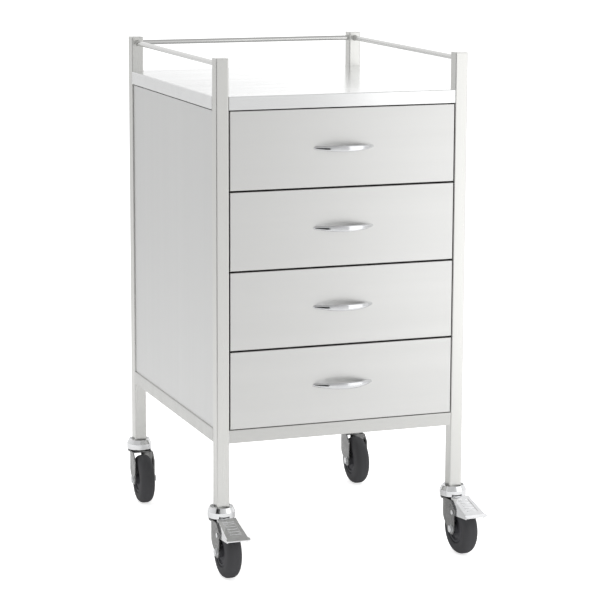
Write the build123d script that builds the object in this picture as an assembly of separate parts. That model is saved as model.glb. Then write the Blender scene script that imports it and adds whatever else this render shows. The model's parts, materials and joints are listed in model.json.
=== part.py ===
from build123d import *
import os
from math import radians, tan

# Instrument cart. Millimetres, +Z up, the drawers open towards -Y.
# The origin is on the floor, in the middle of the rectangle that the cart covers.

# ---------------------------------------------------------------- cabinet
WIDTH = 500.0              # over the posts, along X
DEPTH = 580.0              # over the posts, along Y
SHELF_HEIGHT = 900.0       # floor to the top shelf
POST_RISE = 70.0           # post tops above the top shelf
UNDERSIDE = 250.0          # floor to the lower edge of the cabinet
BAND = 25.0                # height of the folded apron round each deck
DRAWERS = 4

TUBE = 25.0                # square post
TUBE_WALL = 1.5
TUBE_RADIUS = 2.5
CAP_THICKNESS = 1.5        # plate that closes a post
RAIL_DIAMETER = 10.0       # round rod rails
RAIL_DROP = 12.0           # rail centre below the post tops

DECK_SHEET = 1.2
DECK_BEND = 1.5            # outer radius of the folded edge
STIFFENER_WIDTH = 40.0
STIFFENER_HEIGHT = 20.0
STIFFENER_SPACING = 240.0

PANEL_SHEET = 1.0
PANEL_RECESS = 3.0         # panels stand behind the posts' outer faces
PANEL_RETURN = 12.0        # folded edges of a panel
PANEL_TOP_GAP = 2.5        # shadow gap under the top shelf's apron
PANEL_END_GAP = 0.8        # panel to rear post

# ---------------------------------------------------------------- drawers
DRAWER_SHEET = 1.0
FRONT_THICKNESS = 18.0     # hollow drawer front
FRONT_RADIUS = 1.2
FRONT_LIP = 15.0           # folded lip that the box is fixed to
SIDE_GAP = 1.5             # front to post
TOP_GAP = 2.0              # first front to the top shelf's apron
FRONT_GAP = 3.0            # between two fronts
BASE_GAP = 1.0             # last front to the base
BOX_RAISE = 12.0           # box floor above the lower edge of the front
BOX_HEIGHT = 110.0
HEM_WIDTH = 3.0            # folded top edge of the box
HEM_HEIGHT = 7.0
REAR_SPACE = 62.0          # box to the back of the cart
DRAWER_TRAVEL = 450.0

SLIDE_THICKNESS = 12.7     # one ball-bearing slide, box to bracket
SLIDE_SHEET = 1.2
SLIDE_RAISE = 50.0         # slide centre above the lower edge of the front
OUTER_HALF_HEIGHT = 22.5
MIDDLE_HALF_HEIGHT = 18.0
INNER_HALF_HEIGHT = 14.0
OUTER_DEPTH = 8.0          # flange tips of the outer member, from the bracket
MIDDLE_WEB = 3.2           # where the middle member starts and ends, from the bracket
MIDDLE_DEPTH = 10.0
INNER_START = 6.2
CAGE_CLEARANCE = 0.4       # ball cage to the member that it runs in
BRACKET_HEIGHT = 60.0
BRACKET_SHEET = 1.5

HANDLE_LENGTH = 120.0
HANDLE_PROJECTION = 27.0
HANDLE_THICKNESS = 4.5     # at the middle of the bow
HANDLE_END_HEIGHT = 7.0
HANDLE_MIDDLE_HEIGHT = 12.0
HANDLE_OPENING = 82.0      # finger gap between the feet
HANDLE_EDGE = 1.2
SCREW_CENTRES = 96.0
SCREW_DIAMETER = 4.0
SCREW_DEPTH = 6.0          # thread in the handle's foot
SCREW_HEAD_DIAMETER = 8.0
SCREW_HEAD_HEIGHT = 2.6
SCREW_CLEARANCE = 0.2      # radial, in the sheets

# ---------------------------------------------------------------- castors
WHEEL_DIAMETER = 100.0
TYRE_WIDTH = 30.0
TYRE_ROUNDING = 12.0
HUB_DIAMETER = 56.0
HUB_RIM_WIDTH = 27.0
HUB_RIM_INNER = 46.0
HUB_WEB = 22.0             # the disc stands a little inside the rim
HUB_BOSS_DIAMETER = 20.0
GROOVE = 1.6               # bevel of the groove between hub and tyre
TRAIL = 38.0               # wheel axle behind the swivel axis
WHEEL_CLEARANCE = 2.2      # wheel to crown
CROWN_THICKNESS = 3.0
BEARING_GAP = 2.8          # crown to collar
COLLAR_HEIGHT = 17.0
COLLAR_DIAMETER = 52.0
COLLAR_STRAIGHT = 11.0     # cylindrical part of the collar
COLLAR_RIM_DIAMETER = 44.0
COLLAR_RIM_RISE = 2.8      # rim above the post's lower end
COLLAR_RIM_WALL = 1.6
SEAL_DIAMETER = 49.0
SEAL_WIDTH = 3.0
SEAL_CLEARANCE = 0.3
RACE_RADIUS = 16.5
RACE_WIDTH = 6.0
RACE_HEIGHT = 1.5
BALL_DIAMETER = 4.0
BALL_COUNT = 12
BALL_CLEARANCE = 0.3
KINGPIN_DIAMETER = 12.0
RIVET_DIAMETER = 18.0
RIVET_HEIGHT = 2.5
RIVET_CLEARANCE = 0.3
RUNNING_FIT = 0.05         # radial
PLUG_HEIGHT = 40.0
PLUG_CLEARANCE = 0.2

CROWN_DIAMETER = 48.0
FORK_SHEET = 2.5
HUB_SIDE_CLEARANCE = 0.5
FORK_GAP = 38.0            # between the fork's legs
FORK_BACK_CLEARANCE = 5.0  # tyre to the fork's rear edge
FORK_WAIST = 12.0          # the legs are straight in front of this line
FORK_BACK_CUT = 5.0        # the rear edge cuts this much off the curve that closes the back
FORK_FOOT_RADIUS = 11.0
FORK_KNEE = 80.0           # the rear edge leaves the vertical here
FORK_SHOULDER = 15.0       # bevel at the front of the legs
CROWN_FRONT = 24.0
SLOT_WIDTH = 2.4
SLOT_HEIGHT = 7.0
SLOT_REACH = 33.0
SLOT_CENTRE = 94.0
AXLE_DIAMETER = 8.0
AXLE_HEAD = 13.0           # across flats
AXLE_HEAD_HEIGHT = 4.6

PEDAL_SHEET = 2.0
PEDAL_BACK_REACH = 30.0    # pedal's rear edge from the swivel axis
PEDAL_BACK_RISE = 3.0      # pedal's rear edge above the collar's lower face
PEDAL_LENGTH = 67.0
PEDAL_SLOPE = 16.6         # degrees
PEDAL_SIDE_CLEARANCE = 0.5
PEDAL_FLARE = 2.0          # extra half width at the front
PEDAL_CHEEK = 8.0          # depth of the side cheeks at the front
PEDAL_PIVOT_REACH = 42.0
PEDAL_PIVOT_HEIGHT = 84.0
PEDAL_PIVOT_EYE = 6.5
PEDAL_PIN_DIAMETER = 5.0
PEDAL_PIN_HEAD = 9.0
PEDAL_PIN_HEAD_HEIGHT = 1.5
PEDAL_HEAD_CLEARANCE = 0.3
PEDAL_TRAVEL = 5.0         # degrees
LIP_LENGTH = 9.0
LIP_WIDTH = 46.0
LIP_DROP = 2.0
LIP_RADIUS = 3.0
TREAD_RECESS = 0.7         # pressed panel in the pedal
TREAD_MARGIN = 7.0
SHOE_WIDTH = 16.0
SHOE_LENGTH = 14.0
SHOE_REACH = 63.0          # brake shoe from the swivel axis
SHOE_GAP = 0.5             # shoe to tyre with the pedal pressed down

# Swivel headings at rest, degrees about +Z, and which castors have a brake.
CASTORS = {
    "left_front": (-1, -1, 0.0, True),
    "right_front": (1, -1, 3.0, True),
    "left_rear": (-1, 1, -3.0, False),
    "right_rear": (1, 1, 0.0, False),
}

# ---------------------------------------------------------------- worked out
WHEEL_RADIUS = WHEEL_DIAMETER / 2
FORK_BACK = WHEEL_RADIUS - TRAIL + FORK_BACK_CLEARANCE
FORK_BACK_CURVE = FORK_WAIST + FORK_BACK + FORK_BACK_CUT
CROWN_BOTTOM = WHEEL_DIAMETER + WHEEL_CLEARANCE
CROWN_TOP = CROWN_BOTTOM + CROWN_THICKNESS
COLLAR_BOTTOM = CROWN_TOP + BEARING_GAP
CASTOR_HEIGHT = COLLAR_BOTTOM + COLLAR_HEIGHT
FORK_OUTER = FORK_GAP / 2 + FORK_SHEET
LIP_TIP = PEDAL_BACK_REACH + PEDAL_LENGTH + LIP_LENGTH
POST_TOP = SHELF_HEIGHT + POST_RISE
APRON_BOTTOM = SHELF_HEIGHT - BAND
BASE_TOP = UNDERSIDE + BAND
HALF_WIDTH = WIDTH / 2
OPENING_HALF = HALF_WIDTH - TUBE
POST_X = HALF_WIDTH - TUBE / 2
MIDDLE_Y = (LIP_TIP - COLLAR_DIAMETER / 2) / 2      # centre of the cabinet
FRONT = MIDDLE_Y - DEPTH / 2                        # front faces of the posts
BACK = MIDDLE_Y + DEPTH / 2
POST_Y = (FRONT + TUBE / 2, BACK - TUBE / 2)
BOX_HALF = OPENING_HALF - SLIDE_THICKNESS
BOX_FRONT = FRONT + FRONT_THICKNESS
SLIDE_LENGTH = DEPTH - FRONT_THICKNESS - REAR_SPACE
BOX_BACK = BOX_FRONT + SLIDE_LENGTH
FRONT_HALF = OPENING_HALF - SIDE_GAP
FRONT_STACK = APRON_BOTTOM - BASE_TOP - TOP_GAP - BASE_GAP - (DRAWERS - 1) * FRONT_GAP
FRONT_HEIGHT = FRONT_STACK / DRAWERS


def block(x, y, z):
    """Box between low and high values on each axis."""
    size = [high - low for low, high in (x, y, z)]
    centre = [(high + low) / 2 for low, high in (x, y, z)]
    return Pos(*centre) * Box(*size)


def side_span(side, low, high):
    """X range on the left (-1) or right (+1) of the middle plane."""
    return (low, high) if side > 0 else (-high, -low)


def profile_yz(sketch, half_width):
    """Prism of a side profile, drawn as (y, z), over the full width."""
    return extrude(Plane.YZ * sketch, half_width, both=True)


def turned(points, axis_plane):
    """Solid of revolution of (radius, along) points about the plane's own Y direction."""
    outline = axis_plane * make_face(Polyline(*points, close=True))
    return revolve(outline, Axis(axis_plane.origin, axis_plane.y_dir))


def front_bottom(number):
    """Lower edge of a drawer front. Drawer 1 is at the top."""
    return APRON_BOTTOM - TOP_GAP - number * FRONT_HEIGHT - (number - 1) * FRONT_GAP


# ---------------------------------------------------------------- frame
def post(x, y):
    """Square tube from the castor to the cap."""
    inner = TUBE - 2 * TUBE_WALL
    section = RectangleRounded(TUBE, TUBE, TUBE_RADIUS)
    section -= RectangleRounded(inner, inner, TUBE_RADIUS - TUBE_WALL)
    return Pos(x, y, CASTOR_HEIGHT) * extrude(section, POST_TOP - CAP_THICKNESS - CASTOR_HEIGHT)


def post_cap(x, y):
    """Flat plate that closes a post."""
    plate = extrude(RectangleRounded(TUBE, TUBE, TUBE_RADIUS), CAP_THICKNESS)
    return Pos(x, y, POST_TOP - CAP_THICKNESS) * plate


def side_rail(side):
    """Round rod between a front and a rear post."""
    rod = Cylinder(RAIL_DIAMETER / 2, DEPTH - 2 * TUBE, rotation=(90, 0, 0))
    return Pos(side * POST_X, MIDDLE_Y, POST_TOP - RAIL_DROP) * rod


def back_rail():
    """Round rod between the rear posts."""
    rod = Cylinder(RAIL_DIAMETER / 2, WIDTH - 2 * TUBE, rotation=(0, 90, 0))
    return Pos(0, POST_Y[1], POST_TOP - RAIL_DROP) * rod


def deck(top):
    """Sheet with a folded apron on all four sides, notched round the posts."""
    body = block((-HALF_WIDTH, HALF_WIDTH), (FRONT, BACK), (top - BAND, top))
    body = fillet(body.faces().sort_by(Axis.Z)[-1].edges(), DECK_BEND)
    inset_x = HALF_WIDTH - DECK_SHEET
    inset_y = (FRONT + DECK_SHEET, BACK - DECK_SHEET)
    body -= block((-inset_x, inset_x), inset_y, (top - BAND, top - DECK_SHEET))
    for x in (-POST_X, POST_X):
        for y in POST_Y:
            body -= Pos(x, y, top - BAND / 2) * Box(TUBE, TUBE, BAND)
    return body


def stiffener(top, y):
    """Channel under a deck, between the aprons."""
    inset = HALF_WIDTH - DECK_SHEET
    half = STIFFENER_WIDTH / 2
    under = top - DECK_SHEET
    body = block((-inset, inset), (y - half, y + half), (under - STIFFENER_HEIGHT, under))
    inner = half - DECK_SHEET
    floor = under - STIFFENER_HEIGHT + DECK_SHEET
    return body - block((-inset, inset), (y - inner, y + inner), (floor, under))


def side_panel(side):
    """Side sheet between the posts, folded inwards at the top and bottom."""
    face = HALF_WIDTH - PANEL_RECESS
    y = (FRONT + TUBE, BACK - TUBE - PANEL_END_GAP)
    z = (BASE_TOP, APRON_BOTTOM - PANEL_TOP_GAP)
    body = block(side_span(side, face - PANEL_RETURN, face), y, z)
    hollow_z = (z[0] + PANEL_SHEET, z[1] - PANEL_SHEET)
    return body - block(side_span(side, face - PANEL_RETURN, face - PANEL_SHEET), y, hollow_z)


def back_panel():
    """Back sheet between the rear posts, folded forwards along its sides."""
    face = BACK - PANEL_RECESS
    z = (BASE_TOP, APRON_BOTTOM - PANEL_TOP_GAP)
    inner = OPENING_HALF - PANEL_SHEET
    body = block((-OPENING_HALF, OPENING_HALF), (face - PANEL_RETURN, face), z)
    return body - block((-inner, inner), (face - PANEL_RETURN, face - PANEL_SHEET), z)


# ---------------------------------------------------------------- slides
def slide_height(number):
    """Centre height of a drawer's slides."""
    return front_bottom(number) + SLIDE_RAISE


def slide_bracket(side, number):
    """Channel between the posts that carries one slide."""
    z = slide_height(number)
    half = BRACKET_HEIGHT / 2
    y = (FRONT + TUBE, BACK - TUBE)
    outer = HALF_WIDTH - PANEL_RECESS - PANEL_SHEET
    body = block(side_span(side, OPENING_HALF, outer), y, (z - half, z + half))
    web = OPENING_HALF + BRACKET_SHEET
    inner = half - BRACKET_SHEET
    return body - block(side_span(side, web, outer), y, (z - inner, z + inner))


def slide_member(side, number, web, tip, half_height):
    """C-section slide member. The web's face and the flange tips are measured from the bracket."""
    z = slide_height(number)
    y = (BOX_FRONT, BOX_BACK)
    low, high = sorted((web, tip))
    x = side_span(side, OPENING_HALF - high, OPENING_HALF - low)
    body = block(x, y, (z - half_height, z + half_height))
    inner = half_height - SLIDE_SHEET
    low, high = (web + SLIDE_SHEET, tip) if web < tip else (tip, web - SLIDE_SHEET)
    hollow_x = side_span(side, OPENING_HALF - high, OPENING_HALF - low)
    return body - block(hollow_x, y, (z - inner, z + inner))


def slide_outer(side, number):
    """Member fixed to the bracket."""
    return slide_member(side, number, 0, OUTER_DEPTH, OUTER_HALF_HEIGHT)


def slide_inner(side, number):
    """Member fixed to the drawer box."""
    return slide_member(side, number, SLIDE_THICKNESS, INNER_START, INNER_HALF_HEIGHT)


def slide_middle(side, number):
    """Telescoping member with ball cages along the stretches that stay engaged when it is drawn out."""
    body = slide_member(side, number, MIDDLE_WEB, MIDDLE_DEPTH, MIDDLE_HALF_HEIGHT)
    z = slide_height(number)
    outside = (MIDDLE_HALF_HEIGHT, OUTER_HALF_HEIGHT - SLIDE_SHEET - CAGE_CLEARANCE)
    inside = (INNER_HALF_HEIGHT + CAGE_CLEARANCE, MIDDLE_HALF_HEIGHT - SLIDE_SHEET)
    rear = (BOX_FRONT + DRAWER_TRAVEL / 2, BOX_BACK)
    front = (BOX_FRONT, BOX_BACK - DRAWER_TRAVEL / 2)
    outer_x = side_span(side, OPENING_HALF - OUTER_DEPTH, OPENING_HALF - MIDDLE_WEB)
    inner_x = side_span(side, OPENING_HALF - MIDDLE_DEPTH, OPENING_HALF - INNER_START)
    for low, high in (outside, (-outside[1], -outside[0])):
        body += block(outer_x, rear, (z + low, z + high))
    for low, high in (inside, (-inside[1], -inside[0])):
        body += block(inner_x, front, (z + low, z + high))
    return body


# ---------------------------------------------------------------- drawers
def screw_hole(x, z, y):
    """Clearance hole for a handle screw, along Y."""
    radius = SCREW_DIAMETER / 2 + SCREW_CLEARANCE
    return Pos(x, (y[0] + y[1]) / 2, z) * Cylinder(radius, y[1] - y[0], rotation=(90, 0, 0))


def drawer_front(number):
    """Hollow folded front with a lip round its back."""
    z0 = front_bottom(number)
    z1 = z0 + FRONT_HEIGHT
    body = block((-FRONT_HALF, FRONT_HALF), (FRONT, BOX_FRONT), (z0, z1))
    body = fillet(body.faces().sort_by(Axis.Y)[0].edges(), FRONT_RADIUS)
    s = DRAWER_SHEET
    inner = FRONT_HALF - s
    body -= block((-inner, inner), (FRONT + s, BOX_FRONT - s), (z0 + s, z1 - s))
    window = FRONT_HALF - FRONT_LIP
    body -= block((-window, window), (BOX_FRONT - s, BOX_FRONT), (z0 + FRONT_LIP, z1 - FRONT_LIP))
    for x in (-SCREW_CENTRES / 2, SCREW_CENTRES / 2):
        body -= screw_hole(x, (z0 + z1) / 2, (FRONT, FRONT + s))
    return body


def drawer_box(number):
    """Open sheet box with a folded top edge: a floor and four walls, welded along their edges."""
    z0 = front_bottom(number) + BOX_RAISE
    z1 = z0 + BOX_HEIGHT
    s = DRAWER_SHEET
    body = block((-BOX_HALF, BOX_HALF), (BOX_FRONT, BOX_BACK), (z0, z1))
    for inset, low, high in ((s, z0 + s, z1 - HEM_HEIGHT), (HEM_WIDTH, z1 - HEM_HEIGHT, z1)):
        inner = BOX_HALF - inset
        body -= block((-inner, inner), (BOX_FRONT + inset, BOX_BACK - inset), (low, high))
    for x in (-SCREW_CENTRES / 2, SCREW_CENTRES / 2):
        body -= screw_hole(x, front_bottom(number) + FRONT_HEIGHT / 2, (BOX_FRONT, BOX_FRONT + s))
    floor = block((s - BOX_HALF, BOX_HALF - s), (BOX_FRONT + s, BOX_BACK - s), (z0, z0 + s))
    inner = BOX_HALF - HEM_WIDTH
    zones = [block(side_span(side, inner, BOX_HALF), (BOX_FRONT, BOX_BACK), (z0, z1)) for side in (-1, 1)]
    for y in ((BOX_FRONT, BOX_FRONT + HEM_WIDTH), (BOX_BACK - HEM_WIDTH, BOX_BACK)):
        zones.append(block((-inner, inner), y, (z0, z1)))
    return [floor, *[(body - floor) & zone for zone in zones]]


def bow(half_chord, rise):
    """Circle segment below the X axis."""
    arc = ThreePointArc((-half_chord, 0), (0, -rise), (half_chord, 0))
    return make_face([arc, Line((half_chord, 0), (-half_chord, 0))])


def lens(half_length, end_height, middle_height):
    """Strip that is higher at the middle than at its ends."""
    end = end_height / 2
    middle = middle_height / 2
    top = ThreePointArc((-half_length, end), (0, middle), (half_length, end))
    bottom = ThreePointArc((-half_length, -end), (0, -middle), (half_length, -end))
    ends = [Line((x, -end), (x, end)) for x in (-half_length, half_length)]
    return make_face([top, bottom, *ends])


def drawer_handle(number):
    """Bow handle that touches the front at its two feet."""
    half = HANDLE_LENGTH / 2
    plan = bow(half, HANDLE_PROJECTION) - bow(HANDLE_OPENING / 2, HANDLE_PROJECTION - HANDLE_THICKNESS)
    body = extrude(plan, HANDLE_MIDDLE_HEIGHT, both=True)
    strip = Plane.XZ * lens(half, HANDLE_END_HEIGHT, HANDLE_MIDDLE_HEIGHT)
    body &= extrude(strip, HANDLE_PROJECTION, both=True)
    flat = body.faces().filter_by(Axis.Y).edges()
    body = fillet([edge for edge in body.edges() if edge not in flat], HANDLE_EDGE)
    for x in (-SCREW_CENTRES / 2, SCREW_CENTRES / 2):
        body -= Pos(x, -SCREW_DEPTH / 2, 0) * Cylinder(SCREW_DIAMETER / 2, SCREW_DEPTH, rotation=(90, 0, 0))
    return Pos(0, FRONT, front_bottom(number) + FRONT_HEIGHT / 2) * body


def handle_screw(x, number):
    """Screw from inside the box, through the front and into the handle's foot."""
    head_y = BOX_FRONT + DRAWER_SHEET
    length = head_y - FRONT + SCREW_DEPTH
    along_y = Rot(90, 0, 0)
    shank = Pos(0, -length / 2, 0) * along_y * Cylinder(SCREW_DIAMETER / 2, length)
    head = Pos(0, SCREW_HEAD_HEIGHT / 2, 0) * along_y * Cylinder(SCREW_HEAD_DIAMETER / 2, SCREW_HEAD_HEIGHT)
    return Pos(x, head_y, front_bottom(number) + FRONT_HEIGHT / 2) * (shank + head)


# ---------------------------------------------------------------- castors
# A castor is modelled about its own swivel axis, on the floor, with its wheel trailing to -Y.
AXLE_PLANE = Plane(origin=(0, -TRAIL, WHEEL_RADIUS), x_dir=(0, 0, 1), z_dir=(0, -1, 0))


def along_x(diameter, x, y, z):
    """Round bar along X between two X values."""
    return Pos((x[0] + x[1]) / 2, y, z) * Cylinder(diameter / 2, x[1] - x[0], rotation=(0, 90, 0))


def castor_head():
    """Collar under the post, with the plug inside the post and the kingpin below."""
    radius = COLLAR_DIAMETER / 2
    rim = COLLAR_RIM_DIAMETER / 2
    rivet_top = CROWN_BOTTOM - RIVET_CLEARANCE
    rivet_bottom = rivet_top - RIVET_HEIGHT
    profile = [
        (0, rivet_bottom),
        (RIVET_DIAMETER / 2, rivet_bottom),
        (RIVET_DIAMETER / 2, rivet_top),
        (KINGPIN_DIAMETER / 2, rivet_top),
        (KINGPIN_DIAMETER / 2, COLLAR_BOTTOM),
        (radius, COLLAR_BOTTOM),
        (radius, COLLAR_BOTTOM + COLLAR_STRAIGHT),
        (rim, CASTOR_HEIGHT + COLLAR_RIM_RISE),
        (rim - COLLAR_RIM_WALL, CASTOR_HEIGHT + COLLAR_RIM_RISE),
        (rim - COLLAR_RIM_WALL, CASTOR_HEIGHT),
        (0, CASTOR_HEIGHT),
    ]
    plug = TUBE - 2 * TUBE_WALL - 2 * PLUG_CLEARANCE
    stem = extrude(RectangleRounded(plug, plug, TUBE_RADIUS - TUBE_WALL), PLUG_HEIGHT)
    return turned(profile, Plane.XZ) + Pos(0, 0, CASTOR_HEIGHT) * stem


def castor_seal():
    """Ring that closes the bearing gap."""
    height = BEARING_GAP - SEAL_CLEARANCE
    ring = Cylinder(SEAL_DIAMETER / 2, height) - Cylinder(SEAL_DIAMETER / 2 - SEAL_WIDTH, height)
    return Pos(0, 0, COLLAR_BOTTOM - height / 2) * ring


def ball_centre_height():
    """Height of the balls, which run in a groove of the crown."""
    return COLLAR_BOTTOM - BALL_DIAMETER / 4


def castor_bearing():
    """Cage with its balls, under the collar."""
    outer = Cylinder(RACE_RADIUS + RACE_WIDTH / 2, RACE_HEIGHT)
    cage = outer - Cylinder(RACE_RADIUS - RACE_WIDTH / 2, RACE_HEIGHT)
    body = Pos(0, 0, COLLAR_BOTTOM - RACE_HEIGHT / 2) * cage
    for place in PolarLocations(RACE_RADIUS, BALL_COUNT):
        body += Pos(0, 0, ball_centre_height()) * place * Sphere(BALL_DIAMETER / 2)
    across = (-COLLAR_DIAMETER / 2, COLLAR_DIAMETER / 2)
    return body & block(across, across, (0, COLLAR_BOTTOM))


def fork_plan(inset):
    """Fork outline seen from above: straight legs in front, drawn together at the back."""
    half = FORK_OUTER - inset
    reach = TRAIL + FORK_FOOT_RADIUS
    legs = Pos(0, -(reach + FORK_WAIST) / 2) * Rectangle(2 * half, reach - FORK_WAIST)
    return legs + Pos(0, -FORK_WAIST) * Ellipse(half, FORK_BACK_CURVE - inset)


def fork_side():
    """Fork outline seen from the side, as (y, z)."""
    reach = TRAIL + FORK_FOOT_RADIUS
    corners = Polyline(
        (-reach, WHEEL_RADIUS),
        (-reach, CROWN_TOP - FORK_SHOULDER),
        (-reach + FORK_SHOULDER, CROWN_TOP),
        (FORK_BACK, CROWN_TOP),
        (FORK_BACK, FORK_KNEE),
    )
    foot = Pos(-TRAIL, WHEEL_RADIUS) * Circle(FORK_FOOT_RADIUS)
    return make_hull([*corners.edges(), *foot.edges()])


def castor_fork(braked):
    """Pressed fork: crown, raceway and two legs."""
    body = extrude(fork_plan(0), CROWN_TOP)
    body -= extrude(fork_plan(FORK_SHEET), CROWN_BOTTOM)
    body &= profile_yz(fork_side(), FORK_OUTER)
    in_front = (-TRAIL - 2 * FORK_FOOT_RADIUS, -CROWN_FRONT)
    body -= block((-FORK_GAP / 2, FORK_GAP / 2), in_front, (0, 2 * CROWN_TOP))
    body += Pos(0, 0, (CROWN_TOP + CROWN_BOTTOM) / 2) * Cylinder(CROWN_DIAMETER / 2, CROWN_THICKNESS)
    body -= Pos(0, 0, CROWN_TOP) * Cylinder(KINGPIN_DIAMETER / 2 + RUNNING_FIT, 2 * RIVET_DIAMETER)
    body -= Pos(0, 0, ball_centre_height()) * Torus(RACE_RADIUS, BALL_DIAMETER / 2 + BALL_CLEARANCE)
    across = (-FORK_OUTER, FORK_OUTER)
    body -= along_x(AXLE_DIAMETER, across, -TRAIL, WHEEL_RADIUS)
    if braked:
        hole = PEDAL_PIN_DIAMETER + 2 * RUNNING_FIT
        body -= along_x(hole, across, -PEDAL_PIVOT_REACH, PEDAL_PIVOT_HEIGHT)
        body -= Pos(0, -SLOT_REACH, SLOT_CENTRE) * Box(2 * FORK_OUTER, SLOT_WIDTH, SLOT_HEIGHT)
    return body


def castor_axle():
    """Bolt through the fork and the hub, with its nut."""
    body = along_x(AXLE_DIAMETER, (-FORK_OUTER, FORK_OUTER), -TRAIL, WHEEL_RADIUS)
    hexagon = RegularPolygon(AXLE_HEAD / 2, 6, major_radius=False)
    for side in (-1, 1):
        plane = Plane(origin=(side * FORK_OUTER, -TRAIL, WHEEL_RADIUS), z_dir=(side, 0, 0))
        body += extrude(plane * hexagon, AXLE_HEAD_HEIGHT)
    return body


def wheel_hub():
    """Moulded hub with a boss that runs between the fork's legs."""
    bore = AXLE_DIAMETER / 2 + RUNNING_FIT
    boss = FORK_GAP / 2 - HUB_SIDE_CLEARANCE
    radii = (HUB_BOSS_DIAMETER / 2, HUB_RIM_INNER / 2, HUB_DIAMETER / 2)
    half = [
        (bore, boss),
        (radii[0], boss),
        (radii[0], HUB_WEB / 2),
        (radii[1], HUB_WEB / 2),
        (radii[1], HUB_RIM_WIDTH / 2),
        (radii[2] - GROOVE, HUB_RIM_WIDTH / 2),
        (radii[2], HUB_RIM_WIDTH / 2 - GROOVE),
    ]
    return turned(half + [(r, -x) for r, x in reversed(half)], AXLE_PLANE)


def wheel_tyre():
    """Rubber tyre with a rounded tread."""
    outer = WHEEL_RADIUS
    inner = HUB_DIAMETER / 2
    side = TYRE_WIDTH / 2
    flat = side - TYRE_ROUNDING
    shoulder = outer - TYRE_ROUNDING
    seat = HUB_RIM_WIDTH / 2 - GROOVE
    arc = TYRE_ROUNDING * (1 - 0.5 ** 0.5)
    outline = [
        Line((inner, -seat), (inner + GROOVE, -side)),
        Line((inner + GROOVE, -side), (shoulder, -side)),
        ThreePointArc((shoulder, -side), (outer - arc, -side + arc), (outer, -flat)),
        Line((outer, -flat), (outer, flat)),
        ThreePointArc((outer, flat), (outer - arc, side - arc), (shoulder, side)),
        Line((shoulder, side), (inner + GROOVE, side)),
        Line((inner + GROOVE, side), (inner, seat)),
        Line((inner, seat), (inner, -seat)),
    ]
    return revolve(AXLE_PLANE * make_face(outline), Axis(AXLE_PLANE.origin, AXLE_PLANE.y_dir))


# ---------------------------------------------------------------- brake pedal
PEDAL_FALL = PEDAL_LENGTH * tan(radians(PEDAL_SLOPE))
PEDAL_TOP = COLLAR_BOTTOM + PEDAL_BACK_RISE
PEDAL_FRONT = -PEDAL_BACK_REACH - PEDAL_LENGTH
PEDAL_FRONT_TOP = PEDAL_TOP - PEDAL_FALL
PEDAL_HALF = FORK_GAP / 2 - PEDAL_SIDE_CLEARANCE


def pedal_side(drop):
    """Pedal outline seen from the side, as (y, z), lowered by a distance."""
    corners = Polyline(
        (-PEDAL_BACK_REACH, PEDAL_TOP - drop),
        (PEDAL_FRONT, PEDAL_FRONT_TOP - drop),
        (PEDAL_FRONT, PEDAL_FRONT_TOP - PEDAL_CHEEK - drop),
    )
    eye = Pos(-PEDAL_PIVOT_REACH, PEDAL_PIVOT_HEIGHT - drop) * Circle(PEDAL_PIVOT_EYE)
    return make_hull([*corners.edges(), *eye.edges()])


def pedal_plan(inset):
    """Pedal outline seen from above: it widens in front of the fork."""
    half = PEDAL_HALF - inset
    front = half + PEDAL_FLARE
    straight = -TRAIL - FORK_FOOT_RADIUS
    right = [(half, -PEDAL_BACK_REACH), (half, straight), (front, PEDAL_FRONT)]
    return make_face(Polyline(*right, *[(-x, y) for x, y in reversed(right)], close=True))


def pedal_lip():
    """Thin toe plate at the front of the pedal."""
    front = PEDAL_FRONT - LIP_LENGTH
    top = PEDAL_FRONT_TOP
    side = Polyline(
        (PEDAL_FRONT + PEDAL_SHEET, top),
        (PEDAL_FRONT, top),
        (front, top - LIP_DROP),
        (front, top - LIP_DROP - PEDAL_SHEET),
        (PEDAL_FRONT, top - PEDAL_SHEET),
        (PEDAL_FRONT + PEDAL_SHEET, top - PEDAL_SHEET),
        close=True,
    )
    lip = profile_yz(make_face(side), LIP_WIDTH / 2)
    return fillet(lip.edges().filter_by(Axis.Z).group_by(Axis.Y)[0], LIP_RADIUS)


def brake_shoe():
    """Block under the pedal, shaped to the tyre as it stands with the pedal pressed down."""
    y = (-SHOE_REACH - SHOE_LENGTH / 2, -SHOE_REACH + SHOE_LENGTH / 2)
    body = block((-SHOE_WIDTH / 2, SHOE_WIDTH / 2), y, (WHEEL_RADIUS, PEDAL_TOP))
    body &= profile_yz(pedal_side(PEDAL_SHEET), SHOE_WIDTH)
    tyre = along_x(WHEEL_DIAMETER + 2 * SHOE_GAP, (-SHOE_WIDTH, SHOE_WIDTH), -TRAIL, WHEEL_RADIUS)
    pivot = Pos(0, -PEDAL_PIVOT_REACH, PEDAL_PIVOT_HEIGHT)
    return body - pivot * Rot(-PEDAL_TRAVEL, 0, 0) * pivot.inverse() * tyre


def tread_panel():
    """Pressed panel that is cut into the pedal's upper face."""
    size = (PEDAL_LENGTH - 3 * TREAD_MARGIN, 2 * (PEDAL_HALF - TREAD_MARGIN))
    centre = (0, -PEDAL_BACK_REACH - PEDAL_LENGTH / 2, PEDAL_TOP - PEDAL_FALL / 2)
    plate = Box(size[1], size[0], 2 * TREAD_RECESS)
    return Pos(*centre) * Rot(PEDAL_SLOPE, 0, 0) * plate


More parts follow.
